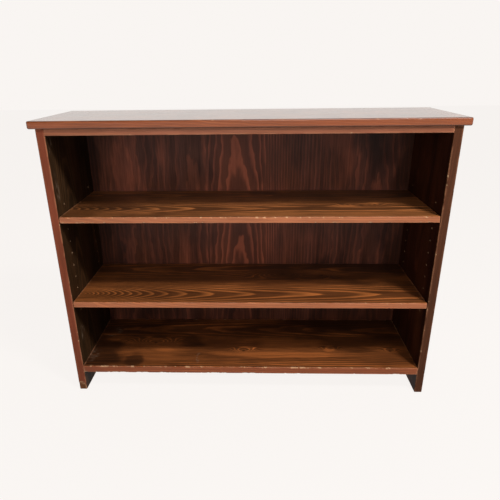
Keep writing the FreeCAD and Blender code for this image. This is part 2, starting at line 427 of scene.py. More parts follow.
# %% A tree that sets items out in rows
def make_grid_tree():
    """Repeat an item on a grid of two steps."""
    tree, g, given, out = geometry_tree("set_out_in_rows", {
        "Start": "Vector", "Step A": "Vector", "Count A": "Int", "Step B": "Vector",
        "Count B": "Int", "Axis": "Vector", "Loose": "Float", "Seed": "Int",
        "Material": "Material",
    })
    count = g.math("MULTIPLY", given["Count A"], given["Count B"])
    points = g.add("GeometryNodePoints", count)
    index = g.add("GeometryNodeInputIndex").outputs[0]
    a = g.math("FLOORED_MODULO", index, given["Count A"])
    b = g.math("FLOOR", g.math("DIVIDE", index, given["Count A"]))
    along_a = g.scale(given["Step A"], a)
    along_b = g.scale(given["Step B"], b)
    chance = g.add("FunctionNodeRandomValue", data_type="FLOAT")
    g.feed(chance.inputs["Seed"], given["Seed"])
    swing = g.math("SUBTRACT", chance.outputs[1], 0.5)
    sunk = g.scale(given["Axis"], g.math("MULTIPLY", swing, given["Loose"]))
    place = g.vector("ADD", given["Start"], g.vector("ADD", along_a, along_b))
    set_out = g.add("GeometryNodeSetPosition", points.outputs[0])
    g.feed(set_out.inputs["Position"], g.vector("ADD", place, sunk))
    turn = g.add("FunctionNodeAxisAngleToRotation")
    g.feed(turn.inputs["Axis"], given["Axis"])
    g.feed(turn.inputs["Angle"], g.math("MULTIPLY", chance.outputs[1], 2 * math.pi))
    copies = g.add("GeometryNodeInstanceOnPoints", set_out.outputs[0])
    g.feed(copies.inputs["Instance"], given["Geometry"])
    g.feed(copies.inputs["Rotation"], turn.outputs[0])
    real = g.add("GeometryNodeRealizeInstances", copies.outputs[0])
    finished = g.add("GeometryNodeSetMaterial", real.outputs[0])
    g.feed(finished.inputs["Material"], given["Material"])
    g.feed(out[0], finished.outputs[0])
    return tree


grid_tree = make_grid_tree()


def set_out(piece, start, step_a, count_a, step_b, count_b, axis, material, seed, loose=0.0):
    """Repeat the piece's mesh in rows, and keep the result as its mesh."""
    return run_tree(
        piece, grid_tree, start=start, step_a=step_a, count_a=count_a, step_b=step_b,
        count_b=count_b, axis=axis, material=material, loose=loose, seed=seed,
    )


print("row tree:", len(grid_tree.nodes), "nodes")

# %% [markdown]
# Each item for the rows is a turned one, as from a lathe: an outline spun about an axis. An
# outline that ends where it began makes a ring, and any other is closed by a face at each end.


# %% A turned item
def lathe(name, outline, axis, segments):
    """An outline of (radius, distance) pairs spun about an axis."""
    bm = bmesh.new()
    rings = []
    for radius, distance in outline:
        ring = []
        for i in range(segments):
            angle = 2 * math.pi * i / segments
            ring.append(bm.verts.new((radius * math.cos(angle), radius * math.sin(angle), distance)))
        rings.append(ring)
    closed = outline[0] == outline[-1]
    for first, second in zip(rings, rings[1:]):
        for i in range(segments):
            j = (i + 1) % segments
            bm.faces.new((first[i], first[j], second[j], second[i]))
    if not closed:
        bm.faces.new(rings[0])
        bm.faces.new(rings[-1])
    bmesh.ops.remove_doubles(bm, verts=bm.verts, dist=1e-6)
    bmesh.ops.recalc_face_normals(bm, faces=bm.faces)
    piece = new_piece(name, bm)
    piece.data.transform(Vector((0, 0, 1)).rotation_difference(Vector(axis)).to_matrix().to_4x4())
    return piece


# %% [markdown]
# Softwood figure is the tree's rings cut by a plane. So the recipe keeps a heart line below the
# board and measures the distance from it: where that line rises or dips along the board, the
# rings run out at the face as nested arches. Knots swell the rings round them into ovals. Red
# stain soaks into the soft early wood and goes dark, and the hard late wood stays orange, which
# is why the thin lines are the light ones.


# %% The figure of a stave
QUICK_SHARE = 0.32
LATE_RISE = (0.45, 0.90)
LATE_FALL = (0.90, 1.0)
BLUNT = 1e-5


def make_figure_group():
    """Late-wood lines from the distance to a heart line."""
    tree = bpy.data.node_groups.new("pine_figure", "ShaderNodeTree")
    sockets = {
        "Grain": "Vector", "Heart Across": "Float", "Heart Depth": "Float", "Taper": "Float",
        "Sweep": "Float", "Sweep Length": "Float", "Peak": "Float", "Ring Gap": "Float",
        "Wander": "Float", "Swell": "Float", "Seed": "Float",
    }
    for label, kind in sockets.items():
        tree.interface.new_socket(label, in_out="INPUT", socket_type="NodeSocket" + kind)
    tree.interface.new_socket("Late", in_out="OUTPUT", socket_type="NodeSocketFloat")
    tree.interface.new_socket("Ring Tone", in_out="OUTPUT", socket_type="NodeSocketFloat")
    g = Graph(tree)
    given = g.add("NodeGroupInput").outputs
    out = g.add("NodeGroupOutput").inputs
    u, v, w = g.split(given["Grain"])
    seeded = g.vector("ADD", given["Grain"], g.join(given["Seed"], given["Seed"], given["Seed"]))
    slow = g.math("SUBTRACT", g.noise(seeded, (2.2, 9.0, 9.0), detail=0.0), 0.5)
    quick = g.math("SUBTRACT", g.noise(seeded, (16.0, 45.0, 45.0), detail=1.0), 0.5)
    faded = g.math("EXPONENT", g.math("MULTIPLY", g.math("DIVIDE", u, given["Sweep Length"]), -1.0))
    swept = g.math("MULTIPLY", g.math("SUBTRACT", 1.0, faded), given["Sweep"])
    rise = g.math("MULTIPLY_ADD", u, given["Taper"], swept)
    depth = g.math("ADD", g.math("ADD", given["Heart Depth"], rise), w)
    across = g.math("SUBTRACT", v, given["Heart Across"])
    square = g.math("MULTIPLY", across, across)
    radius = g.math("SQRT", g.math("ADD", square, g.math("MULTIPLY", depth, depth)))
    peaked = g.math("SQRT", g.math("ADD", square, BLUNT))
    radius = g.math("MULTIPLY_ADD", peaked, given["Peak"], radius)
    wander = g.math("MULTIPLY", given["Wander"], g.math("MULTIPLY_ADD", quick, QUICK_SHARE, slow))
    ring = g.math("DIVIDE", g.math("ADD", g.math("ADD", radius, given["Swell"]), wander),
                  given["Ring Gap"])
    part = g.math("FRACT", ring)
    late = g.math("MULTIPLY", g.ramp(part, *LATE_RISE), g.ramp(part, *LATE_FALL, 1.0, 0.0))
    tone = g.add("ShaderNodeTexWhiteNoise", noise_dimensions="1D")
    g.feed(tone.inputs["W"], g.math("FLOOR", ring))
    g.feed(out["Late"], late)
    g.feed(out["Ring Tone"], tone.outputs["Value"])
    return tree


figure_group = make_figure_group()
print("figure group:", len(figure_group.nodes), "nodes")

# %% [markdown]
# A stave is one use of that figure, with its own heart line and knots. A knot pushes the rings
# aside, so each adds a soft hump to the distance. Only a large knot shows a dark core.

# %% A stave and its knots
CORE_FROM = 0.015
CORE_FADE = (0.003, 0.008)


def stave(g, grain, heart, gap, wander, seed, taper=0.0, sweep=0.0, sweep_length=1.0, peak=0.0,
          knots=()):
    """One stave's late wood, its ring tone and the dark cores of its knots."""
    u, v, _ = g.split(grain)
    swell = 0.0
    core = 0.0
    for at_u, at_v, long, wide, height in knots:
        du = g.math("SUBTRACT", u, at_u)
        dv = g.math("SUBTRACT", v, at_v)
        far = g.math("ADD", g.math("POWER", g.math("DIVIDE", du, long), 2.0),
                     g.math("POWER", g.math("DIVIDE", dv, wide), 2.0))
        bump = g.math("MULTIPLY", g.math("EXPONENT", g.math("MULTIPLY", far, -1.0)), height)
        swell = g.math("ADD", bump, swell)
        spot = g.math("SQRT", g.math("ADD", g.math("MULTIPLY", du, du), g.math("MULTIPLY", dv, dv)))
        if height > CORE_FROM:
            core = g.math("MAXIMUM", core, g.ramp(spot, *CORE_FADE, 1.0, 0.0))
    node = g.add("ShaderNodeGroup", node_tree=figure_group)
    for label, value in {
        "Grain": grain, "Heart Across": heart[0], "Heart Depth": heart[1], "Taper": taper,
        "Sweep": sweep, "Sweep Length": sweep_length, "Peak": peak, "Ring Gap": gap,
        "Wander": wander, "Swell": swell, "Seed": seed,
    }.items():
        g.feed(node.inputs[label], value)
    return node.outputs["Late"], node.outputs["Ring Tone"], core


def lay_staves(g, grain, staves):
    """Lay staves side by side. Each one after the first takes over beyond its limit."""
    across = g.split(grain)[1]
    (_, first), *others = staves
    laid = stave(g, grain, **first)
    for limit, plan in others:
        beyond = g.math("GREATER_THAN", across, limit)
        keep = g.math("SUBTRACT", 1.0, beyond)
        merged = []
        for old, new in zip(laid, stave(g, grain, **plan)):
            merged.append(g.math("MULTIPLY_ADD", new, beyond, g.math("MULTIPLY", old, keep)))
        laid = merged
    return laid


# %% [markdown]
# Stain takes unevenly, and that happens at several scales at once: broad warm and dark bands,
# clouds, and fibres as fine as hair. Each scale is a layer of noise. Marks that belong to one
# place are ovals, and a cloud makes their rims ragged: scuffs, real stains, dark ovals of painted
# shade at the backs of bays and the ends of the panel, and light ovals of painted light.

# %% Layers of noise and marks
# Each layer: repeats to a metre along, across and through the grain, the detail, and the number
# that it adds to the board's seed, so that no two layers agree.
LAYERS = {
    "warm": ((2.2, 16.0, 16.0), 2.0, 0.0),
    "bands": ((1.1, 38.0, 38.0), 3.0, 3.0),
    "fibre": ((14.0, 620.0, 620.0), 3.0, 5.0),
    "broad": ((2.6, 9.0, 9.0), 4.0, 7.0),
    "cloud": ((5.0, 13.0, 13.0), 3.0, 9.0),
    "mottle": ((7.0, 60.0, 60.0), 3.0, 13.0),
    "waver": ((30.0, 60.0, 60.0), 2.0, 17.0),
    "hair": ((45.0, 330.0, 330.0), 1.0, 21.0),
}
RAGGED_RIM = 2.4
RIM_FADE = (0.5, 1.1)


def layer(g, grain, name, seed):
    """One layer of noise on a board."""
    stretch, detail, own_seed = LAYERS[name]
    return g.noise(grain, stretch, detail=detail, seed=seed + own_seed)


def marks(g, grain, places, cloud):
    """How marked a point is, from ragged ovals of (along, across, long, wide, strength)."""
    u, v, _ = g.split(grain)
    most = 0.0
    ragged = g.math("MULTIPLY_ADD", cloud, RAGGED_RIM, -RAGGED_RIM / 2)
    for at_u, at_v, long, wide, strength in places:
        du = g.math("DIVIDE", g.math("SUBTRACT", u, at_u), long)
        dv = g.math("DIVIDE", g.math("SUBTRACT", v, at_v), wide)
        far = g.math("SQRT", g.math("ADD", g.math("MULTIPLY", du, du), g.math("MULTIPLY", dv, dv)))
        most = g.math("MAXIMUM", most, g.ramp(g.math("ADD", far, ragged), *RIM_FADE, strength, 0.0))
    return most


def attribute(g, name):
    """A stored wear amount."""
    return g.add("ShaderNodeAttribute", attribute_name=name).outputs["Fac"]


print("layers of noise:", list(LAYERS))

# %% [markdown]
# The finish goes on in a finisher's order: the figure, the stain's layers, the marks of one
# place (real stains and scuffs, with painted shade and painted light among them), the front edge's
# own tint, the rubbed arrises (on the top, a painted dark line of shade), and then the chips and
# nicks that cut through it all. Each step is one blend over the last, so any of them can be turned
# down alone.

# %% Stained pine
# Colours are in linear light.
EARLY = (0.149, 0.051, 0.0155)
LATE = (0.480, 0.158, 0.044)
REDDISH = (0.140, 0.040, 0.014)
RUBBED = (0.360, 0.125, 0.060)
HANDLED = (0.420, 0.180, 0.090)
BARE = (0.640, 0.400, 0.220)
RAW = (0.120, 0.046, 0.019)
BLACK = (0.0, 0.0, 0.0)
COOL_DARK = (0.012, 0.008, 0.009)
BLOTCH_DARK = (0.004, 0.002, 0.0015)
KNOT_DARK = (0.012, 0.004, 0.002)
# The dark of real stains and of the painted shade ovals.
STAIN_AND_SHADE_DARK = (0.006, 0.003, 0.002)
SCUFFED = (0.300, 0.210, 0.150)
COAT_ROUGHNESS = 0.10
WORN_ROUGHNESS = 0.75
RUBBED_ROUGHNESS = 0.9
GRAIN_BUMP = 0.25
GRAIN_DEPTH = 0.0004


def stained_pine(name, order, face, staves, seed, early=EARLY, late=LATE, red=0.25, streak=0.35,
                 blotch=0.30, gloss=0.32, front=RUBBED, front_tint=0.75, scuffs=(), late_strength=1.0,
                 coat=0.05, stains_and_shade=(), painted_light=(), specular=0.4, bands_red=0.0, arris_colour=HANDLED,
                 arris_even=0.0):
    """Stained and lacquered softwood. order names the axes along, across and through the grain.
    face is the height of the show face through the board, and staves go from low to high."""
    material, g = new_material(name)
    coordinates = g.add("ShaderNodeTexCoord").outputs
    axes = dict(zip("XYZ", g.split(coordinates["Object"])))
    through = g.math("SUBTRACT", axes[order[2]], face)
    grain = g.join(axes[order[0]], axes[order[1]], through)

    late_mask, tone, core = lay_staves(g, grain, staves)
    strength = g.math("MULTIPLY", g.math("MULTIPLY_ADD", tone, 0.5, 0.6), late_strength)
    line = g.math("MULTIPLY", late_mask, strength, clamp=True)
    colour = g.blend(line, early, late)
    warm = g.ramp(layer(g, grain, "warm", seed), 0.40, 0.68)
    colour = g.blend(g.math("MULTIPLY", warm, red), colour, REDDISH)
    if bands_red:
        broad = layer(g, grain, "broad", seed)
        colour = g.blend(g.ramp(broad, 0.54, 0.70, 0.0, bands_red), colour, late)
        colour = g.blend(g.ramp(broad, 0.34, 0.48, 0.5, 0.0), colour, COOL_DARK)
    bands = layer(g, grain, "bands", seed)
    colour = g.blend(g.ramp(bands, 0.30, 0.70, streak, 0.0), colour, BLACK)
    fibre = layer(g, grain, "fibre", seed)
    colour = g.blend(g.ramp(fibre, 0.30, 0.72, 0.45, 0.0), colour, BLACK)
    cloud = layer(g, grain, "cloud", seed)
    colour = g.blend(g.ramp(cloud, 0.38, 0.60, blotch, 0.0), colour, BLOTCH_DARK)
    colour = g.blend(g.math("MULTIPLY", core, 0.8), colour, KNOT_DARK)
    # Painted light: light ovals that brighten the wood, most along the late lines.
    lit_lines = g.math("MULTIPLY_ADD", late_mask, 0.75, 0.25)
    colour = g.blend(g.math("MULTIPLY", marks(g, grain, painted_light, cloud), lit_lines), colour, late)
    # Dark ovals: real stains, and painted shade at the backs of the bays and the ends of the panel.
    colour = g.blend(marks(g, grain, stains_and_shade, cloud), colour, STAIN_AND_SHADE_DARK)

    _, turned_back, _ = g.split(coordinates["Normal"])
    facing = g.ramp(g.math("MULTIPLY", turned_back, -1.0), 0.35, 0.85)
    mottled = g.ramp(layer(g, grain, "mottle", seed), 0.2, 0.8, 0.65, 1.0)
    tint = g.math("MULTIPLY", g.math("MULTIPLY", facing, mottled), front_tint)
    colour = g.blend(tint, colour, front)
    # Rubbed arrises take the arris colour. On the top that colour is dark: a painted line of shade
    # along its rounded edges.
    wavering = g.ramp(layer(g, grain, "waver", seed), 0.35, 0.62, arris_even, 1.0)
    most_rub_and_edge_shade = 0.55 + 0.4 * arris_even
    rub_and_edge_shade = g.math("MULTIPLY", g.math("MULTIPLY", attribute(g, "arris"), wavering), most_rub_and_edge_shade)
    colour = g.blend(rub_and_edge_shade, colour, arris_colour)

    rough = g.ramp(fibre, 0.2, 0.8, gloss + 0.10, gloss)
    if scuffs:
        hair = g.ramp(layer(g, grain, "hair", seed), 0.57, 0.66)
        scratch = g.math("MULTIPLY", hair, marks(g, grain, scuffs, cloud))
        colour = g.blend(scratch, colour, SCUFFED)
        rough = g.math("MULTIPLY_ADD", scratch, 0.3, rough, clamp=True)

    raw = attribute(g, "raw")
    bare = attribute(g, "bare")
    colour = g.blend(raw, colour, RAW)
    colour = g.blend(bare, colour, BARE)
    rough = g.math("MAXIMUM", rough, g.math("MULTIPLY", g.math("MAXIMUM", raw, bare), WORN_ROUGHNESS))
    rough = g.math("MAXIMUM", rough, g.math("MULTIPLY", rub_and_edge_shade, RUBBED_ROUGHNESS), clamp=True)

    relief = g.math("MULTIPLY_ADD", fibre, 0.5, g.math("MULTIPLY", late_mask, 0.5))
    surface(g, relief, GRAIN_BUMP, GRAIN_DEPTH, {
        "Base Color": colour, "Roughness": rough, "Specular IOR Level": specular,
        "Coat Weight": coat, "Coat Roughness": COAT_ROUGHNESS,
    })
    return material


# %% [markdown]
# Metal and bare wood are small here, but they still need life: zinc plate dulls in clouds, and
# the wood inside a drilled hole never took the stain.

# %% Metal, bare wood and dowel finishes
FINE_BUMP = 0.2
FINE_DEPTH = 0.0002
FINER = 6


def simple_finish(name, dark, light, stretch, rough_low, rough_high, metallic=0.0):
    """A cloudy finish between two colours and two roughnesses."""
    material, g = new_material(name)
    where = g.add("ShaderNodeTexCoord").outputs["Object"]
    cloud = g.noise(where, stretch, detail=4.0, seed=2.0)
    fine = g.noise(where, tuple(FINER * s for s in stretch), detail=2.0, seed=8.0)
    share = g.ramp(g.math("MULTIPLY_ADD", fine, 0.4, g.math("MULTIPLY", cloud, 0.6)), 0.3, 0.7)
    surface(g, fine, FINE_BUMP, FINE_DEPTH, {
        "Base Color": g.blend(share, dark, light), "Metallic": metallic,
        "Roughness": g.ramp(cloud, 0.3, 0.7, rough_high, rough_low),
    })
    return material


zinc = simple_finish("dulled_zinc", (0.16, 0.15, 0.13), (0.46, 0.44, 0.40), (90, 90, 90),
                     0.30, 0.55, metallic=1.0)
beech = simple_finish("bare_beech", (0.45, 0.30, 0.17), (0.62, 0.45, 0.28), (40, 900, 900), 0.6, 0.8)
bare_pine = simple_finish("bare_pine", (0.09, 0.05, 0.025), (0.30, 0.18, 0.10), (300, 300, 300),
                          0.6, 0.8)
print("plain finishes:", [m.name for m in (zinc, beech, bare_pine)])

# %% [markdown]
# Now each board gets its own plan of staves. Loose shelves are glued up from two staves, so the
# figure changes part-way back. The numbers say where the heart line lies under the show face,
# how fast it rises, how wide the rings are and where the knots sit, all in metres. Each stave's
# entry begins with the place across the board where it takes over from the one before. A knot is
# (along, across, long, wide, swell).


# %% Board finishes
def top_of(node):
    """Height of a board's upper face."""
    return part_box(node)[1].z


# The top's dark arris colour is a painted line of shade along its rounded front and ends.
top_finish = stained_pine(
    "top_board_pine", "XYZ", top_of("top_board"), [
        (None, dict(heart=(-0.10, 0.07), taper=0.05, gap=0.005, wander=0.012, seed=1.3)),
        (-0.04, dict(heart=(0.02, 0.09), taper=-0.04, gap=0.005, wander=0.012, seed=4.1)),
        (0.07, dict(heart=(0.13, 0.06), taper=0.03, gap=0.005, wander=0.012, seed=7.7)),
    ], seed=2.0, gloss=0.14, coat=0.33, specular=1.0, front=(0.29, 0.068, 0.020),
    arris_colour=(0.030, 0.011, 0.006), arris_even=0.8)
rail_finish = stained_pine(
    "rail_pine", "XYZ", top_of("subtop"), [
        (None, dict(heart=(-0.06, 0.10), taper=0.01, gap=0.005, wander=0.010, seed=3.4)),
    ], seed=6.0, front=(0.29, 0.096, 0.051))
upper_finish = stained_pine(
    "upper_shelf_pine", "XYZ", top_of("upper_shelf"), [
        (None, dict(heart=(-0.072, 0.094), taper=0.004, sweep=0.0035, sweep_length=0.20, gap=0.0065,
                    wander=0.008, peak=0.05, seed=5.2,
                    knots=[(0.36, -0.036, 0.060, 0.018, 0.030)])),
        (0.012, dict(heart=(0.09, 0.10), taper=0.02, gap=0.0065, wander=0.012, seed=8.8)),
    ], seed=11.0, early=(0.172, 0.062, 0.020), late=(0.70, 0.240, 0.068),
    front=(0.48, 0.158, 0.070),
    # Light ovals: painted light along the lit front of the shelf.
    painted_light=[(0.10, -0.052, 0.06, 0.008, 0.5), (-0.01, -0.046, 0.07, 0.006, 0.4),
          (0.30, -0.048, 0.05, 0.012, 0.6), (0.40, -0.016, 0.05, 0.012, 0.5)],
    # Dark ovals: real stains, and painted shade at the back right and the left end.
    stains_and_shade=[(0.05, 0.11, 0.05, 0.03, 0.5), (0.24, -0.05, 0.05, 0.010, 0.35),
            (0.48, 0.13, 0.14, 0.10, 0.35), (-0.56, -0.05, 0.30, 0.25, 0.5)])
lower_finish = stained_pine(
    "lower_shelf_pine", "XYZ", top_of("lower_shelf"), [
        (None, dict(heart=(-0.098, 0.09545), taper=0.024, sweep=0.0027, sweep_length=0.16,
                    gap=0.0065, wander=0.004, peak=0.06, seed=9.6,
                    knots=[(0.46, -0.10, 0.12, 0.06, 0.0025)])),
        (-0.004, dict(heart=(0.10, 0.09), taper=-0.02, gap=0.0060, wander=0.012, seed=2.2,
                      knots=[(0.12, 0.060, 0.10, 0.030, 0.046), (0.26, 0.050, 0.05, 0.020, 0.022)])),
    ], seed=15.0, early=(0.148, 0.0475, 0.0142), late=(0.60, 0.186, 0.046),
    # Dark ovals at the back right: painted shade.
    stains_and_shade=[(0.50, 0.13, 0.28, 0.12, 0.75), (0.42, 0.11, 0.34, 0.14, 0.6)],
    front=(0.50, 0.160, 0.068))
bottom_finish = stained_pine(
    "bottom_shelf_pine", "XYZ", top_of("bottom_shelf"), [
        (None, dict(heart=(-0.22, 0.100), taper=0.006, gap=0.0065, wander=0.012, seed=6.1,
                    knots=[(-0.020, -0.061, 0.040, 0.018, 0.030),
                           (-0.345, -0.012, 0.085, 0.028, 0.056),
                           (0.290, -0.049, 0.036, 0.016, 0.026), (0.500, -0.058, 0.03, 0.014, 0.020)])),
        (0.030, dict(heart=(0.08, 0.09), taper=-0.03, gap=0.0065, wander=0.012, seed=3.9)),
    ], seed=19.0, early=(0.181, 0.057, 0.0166), late=(0.66, 0.190, 0.046), blotch=0.45,
    front=(0.270, 0.060, 0.018),
    # Light ovals: painted light near the front of the shelf.
    painted_light=[(0.010, -0.046, 0.020, 0.012, 0.7), (0.285, -0.052, 0.022, 0.012, 0.7),
          (-0.30, -0.058, 0.06, 0.015, 0.6), (0.10, -0.085, 0.20, 0.020, 0.5)],
    # Dark ovals: real stains, and painted shade at the back and the right end.
    stains_and_shade=[(0.50, 0.13, 0.34, 0.13, 0.65), (0.46, 0.01, 0.36, 0.06, 0.5),
            (-0.53, 0.12, 0.30, 0.09, 0.45), (-0.53, -0.08, 0.08, 0.12, 0.7),
            (-0.395, -0.12, 0.035, 0.05, 0.6), (-0.215, 0.0, 0.055, 0.045, 0.65),
            (0.31, -0.035, 0.03, 0.014, 0.5)],
    scuffs=[(-0.525, 0.033, 0.02, 0.02, 0.8), (-0.504, 0.068, 0.02, 0.02, 0.6),
            (-0.178, -0.112, 0.006, 0.03, 0.7), (-0.55, -0.09, 0.02, 0.04, 0.5)])
# The sides' grain is like the shelves', but their colours are set far darker, which paints the shade of
# their inner faces into them. The right side's dark front tint is painted shade too.
left_finish = stained_pine(
    "left_side_pine", "ZYX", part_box("left_side")[1].x, [
        (None, dict(heart=(-0.05, 0.08), taper=0.04, gap=0.005, wander=0.010, seed=7.3)),
        (0.0, dict(heart=(0.10, 0.07), taper=0.02, gap=0.005, wander=0.010, seed=1.9)),
    ], seed=23.0, early=(0.046, 0.024, 0.011), late=(0.12, 0.055, 0.022), red=0.2,
    front=(0.26, 0.062, 0.032), specular=0.04, coat=0.0,
    scuffs=[(0.84, -0.14, 0.02, 0.015, 0.8), (0.70, -0.13, 0.05, 0.02, 0.4),
            (0.20, -0.12, 0.05, 0.03, 0.4)])
right_finish = stained_pine(
    "right_side_pine", "ZYX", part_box("right_side")[0].x, [
        (None, dict(heart=(-0.02, 0.08), taper=-0.03, gap=0.005, wander=0.010, seed=4.6)),
        (0.0, dict(heart=(0.08, 0.07), taper=0.03, gap=0.005, wander=0.010, seed=6.8)),
    ], seed=27.0, early=(0.045, 0.0135, 0.0068), late=(0.12, 0.032, 0.014), red=0.5,
    front=(0.09, 0.034, 0.017), specular=0.04, coat=0.0)
panel_finish = stained_pine(
    "back_panel_pine", "ZXY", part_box("back_panel")[0].y, [
        (None, dict(heart=(-0.43, 0.09), taper=0.03, gap=0.011, wander=0.04, seed=3.1)),
        (-0.30, dict(heart=(-0.22, 0.12), taper=0.02, gap=0.012, wander=0.03, seed=6.5)),
        (-0.15, dict(heart=(-0.045, 0.09), taper=0.05, gap=0.012, wander=0.03, peak=0.06, seed=5.5)),
        (0.06, dict(heart=(0.30, 0.07), taper=0.0, gap=0.009, wander=0.010, seed=9.1)),
        (0.27, dict(heart=(0.44, 0.09), taper=0.03, gap=0.012, wander=0.04, seed=1.7)),
    ], seed=31.0, early=(0.145, 0.047, 0.0286), late=(0.52, 0.135, 0.066), red=0.4, front_tint=0.0,
    late_strength=0.42, gloss=0.45, coat=0.0, specular=0.5, streak=0.25, blotch=0.2, bands_red=0.4,
    # The light oval in the middle of the panel is a painted sheen.
    painted_light=[(0.60, -0.03, 0.45, 0.16, 0.55)],
    # Dark ovals along both ends and in the corners of the bays: painted shade.
    stains_and_shade=[(0.45, -0.575, 0.80, 0.07, 0.6), (0.45, 0.575, 0.80, 0.07, 0.6),
            (0.16, 0.46, 0.22, 0.30, 0.5), (0.80, 0.46, 0.10, 0.12, 0.35),
            (0.14, -0.40, 0.12, 0.25, 0.25)])
print("materials so far:", len(bpy.data.materials))

# %% [markdown]
# The long boards share one recipe. The top has a generous round on its front and ends, the
# others only lose their sharp arris. Each is then worn with its own seed: the shelf fronts are
# where books and hands strike, so they get the most nicks.

# %% The long boards
ARRIS_R = 0.0015
TOP_CORNER_R = 0.006
TOP_EDGE_R = 0.0045
ROOT_BODY = "carcass"


def long_board(node, kind, share, seed, depth, length):
    """A board with its grain along X, in a CAD board's place. Its kind is top, fixed or loose."""
    low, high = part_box(node)
    outline = [(low.y, low.z), (high.y, low.z), (high.y, high.z), (low.y, high.z)]
    bm = prism(outline, "X", low.x, high.x)

    def corner(mid, run):
        return abs(run.z) > 0.9 and mid.y < 0

    def rim(mid, run):
        return abs(run.z) < 0.1 and mid.y < high.y - NEAR

    def arris(mid, run):
        return abs(run.x) > 0.9 and (kind == "loose" or abs(mid.y - low.y) < NEAR)

    if kind == "top":
        round_edges(bm, TOP_CORNER_R, 6, corner)
        round_edges(bm, TOP_EDGE_R, 5, rim)
    else:
        round_edges(bm, ARRIS_R, 4, arris)
    guard_lines(bm)
    slice_along(bm, "X")
    smooth_rounds(bm)
    board = wear(new_piece(node + "_planed", bm), seed, share, depth, length)
    print(board.name, "has", len(board.data.polygons), "faces")
    return board


# Each board: its node, its kind, its share of nicks, its seed, and the nicks' depth and length.
boards = {}
for finish, *plan in (
    (top_finish, "top_board", "top", 0.10, 3.0, NICK_DEPTH, NICK_LENGTH),
    (rail_finish, "subtop", "fixed", 0.10, 8.0, NICK_DEPTH, NICK_LENGTH),
    (bottom_finish, "bottom_shelf", "fixed", 0.23, 12.0, 0.0016, 0.016),
    (upper_finish, "upper_shelf", "loose", 0.19, 21.0, 0.0014, 0.011),
    (lower_finish, "lower_shelf", "loose", 0.14, 30.0, NICK_DEPTH, NICK_LENGTH),
):
    boards[plan[0]] = (long_board(*plan), finish)

# %% [markdown]
# A side is the same prism stood on end. Its outline has a step at the back for the panel, and its
# inner face is drilled with two columns of holes. The drill is one turned item set out in rows,
# and a Boolean takes it away, so the holes are real.

# %% The sides and their holes
SIDE_ARRIS_R = 0.002
FOOT_ARRIS_R = 0.0015
PANEL_PLAY = 0.0005
HOLE_R = 0.0025
HOLE_DEPTH = 0.012
HOLE_ROWS = 10
HOLE_COLUMNS = 2
DRILL_SIDES = 24
DRILL_START = -0.001
SIDE_NICKS = 0.12
ROWS_BETWEEN_SHELVES = 7
PIN_ABOVE_LEDGE = 0.005
LEDGE_THICK = 0.0015


def hole_grid():
    """First hole's y and z, the row pitch and the column gap, from the supports."""
    front_low, front_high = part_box("upper_left_front_support")
    back_low, back_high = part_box("upper_left_back_support")
    lower_low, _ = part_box("lower_left_front_support")
    pitch = (front_low.z - lower_low.z) / ROWS_BETWEEN_SHELVES
    y = (front_low.y + front_high.y) / 2
    gap = (back_low.y + back_high.y) / 2 - y
    pin_z = front_low.z + LEDGE_THICK + PIN_ABOVE_LEDGE
    return y, pin_z + pitch, pitch, gap


hole_y, top_hole_z, hole_pitch, column_gap = hole_grid()
print("holes every", round(hole_pitch * 1000, 1), "mm, columns", round(column_gap * 1000), "mm apart")


def set_out_holes(item, inner_x, seed):
    """Repeat an item at every hole of one side, in bare wood."""
    return set_out(
        item, (inner_x, hole_y, top_hole_z), (0, 0, -hole_pitch), HOLE_ROWS,
        (0, column_gap, 0), HOLE_COLUMNS, (1, 0, 0), bare_pine, seed=seed,
    )


def side_board(node, sign, seed, chips):
    """A standing side with a rabbet, drilled holes and worn edges."""
    low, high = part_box(node)
    inner, outer = (high.x, low.x) if sign < 0 else (low.x, high.x)
    panel_low, panel_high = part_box("back_panel")
    step = (panel_low.x - PANEL_PLAY) if sign < 0 else (panel_high.x + PANEL_PLAY)
    outline = [
        (outer, low.y), (inner, low.y), (inner, panel_low.y),
        (step, panel_low.y), (step, high.y), (outer, high.y),
    ]
    bm = prism(outline, "Z", low.z, high.z)

    def front_arris(mid, run):
        return abs(run.z) > 0.9 and mid.y < low.y + NEAR

    def foot_arris(mid, run):
        return abs(run.z) < 0.1 and mid.z < low.z + NEAR and mid.y < panel_low.y

    round_edges(bm, SIDE_ARRIS_R, 4, front_arris)
    round_edges(bm, FOOT_ARRIS_R, 3, foot_arris)
    guard_lines(bm)
    slice_along(bm, "Z")
    smooth_rounds(bm)
    board = new_piece(node + "_planed", bm)
    drill_outline = [(HOLE_R, DRILL_START), (HOLE_R, HOLE_DEPTH)]
    drill = lathe(node + "_drill", drill_outline, (sign, 0, 0), DRILL_SIDES)
    set_out_holes(drill, inner, 1)
    cut = board.modifiers.new("holes", "BOOLEAN")
    cut.object = drill
    cut.solver = "EXACT"
    cut.operation = "DIFFERENCE"
    cut.material_mode = "TRANSFER"
    plain_mesh(board)
    bpy.data.objects.remove(drill)
    wear(board, seed, SIDE_NICKS)
    for at, reach, deep in chips:
        wear(board, seed + 5.0, 0.0, chip=at, chip_reach=reach, chip_depth=deep)
    print(board.name, "has", len(board.data.polygons), "faces")
    return board


# Each chip: where it is, how far it reaches along X, Y and Z, and how deep it goes.
left_low, left_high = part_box("left_side")
left_chips = [
    ((left_low.x + 0.009, left_low.y, 0.007), (0.018, 0.0045, 0.029), 0.0008),
    ((left_high.x, left_low.y, 0.200), (0.004, 0.004, 0.006), 0.0020),
]
boards["left_side"] = (side_board("left_side", -1, 41.0, left_chips), left_finish)
boards["right_side"] = (side_board("right_side", 1, 47.0, []), right_finish)

for node, (board, finish) in boards.items():
    if board.data.materials:
        board.data.materials[0] = finish
    else:
        board.data.materials.append(finish)
    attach(board, node if node in frame["bodies"] else ROOT_BODY)
    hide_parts(node)

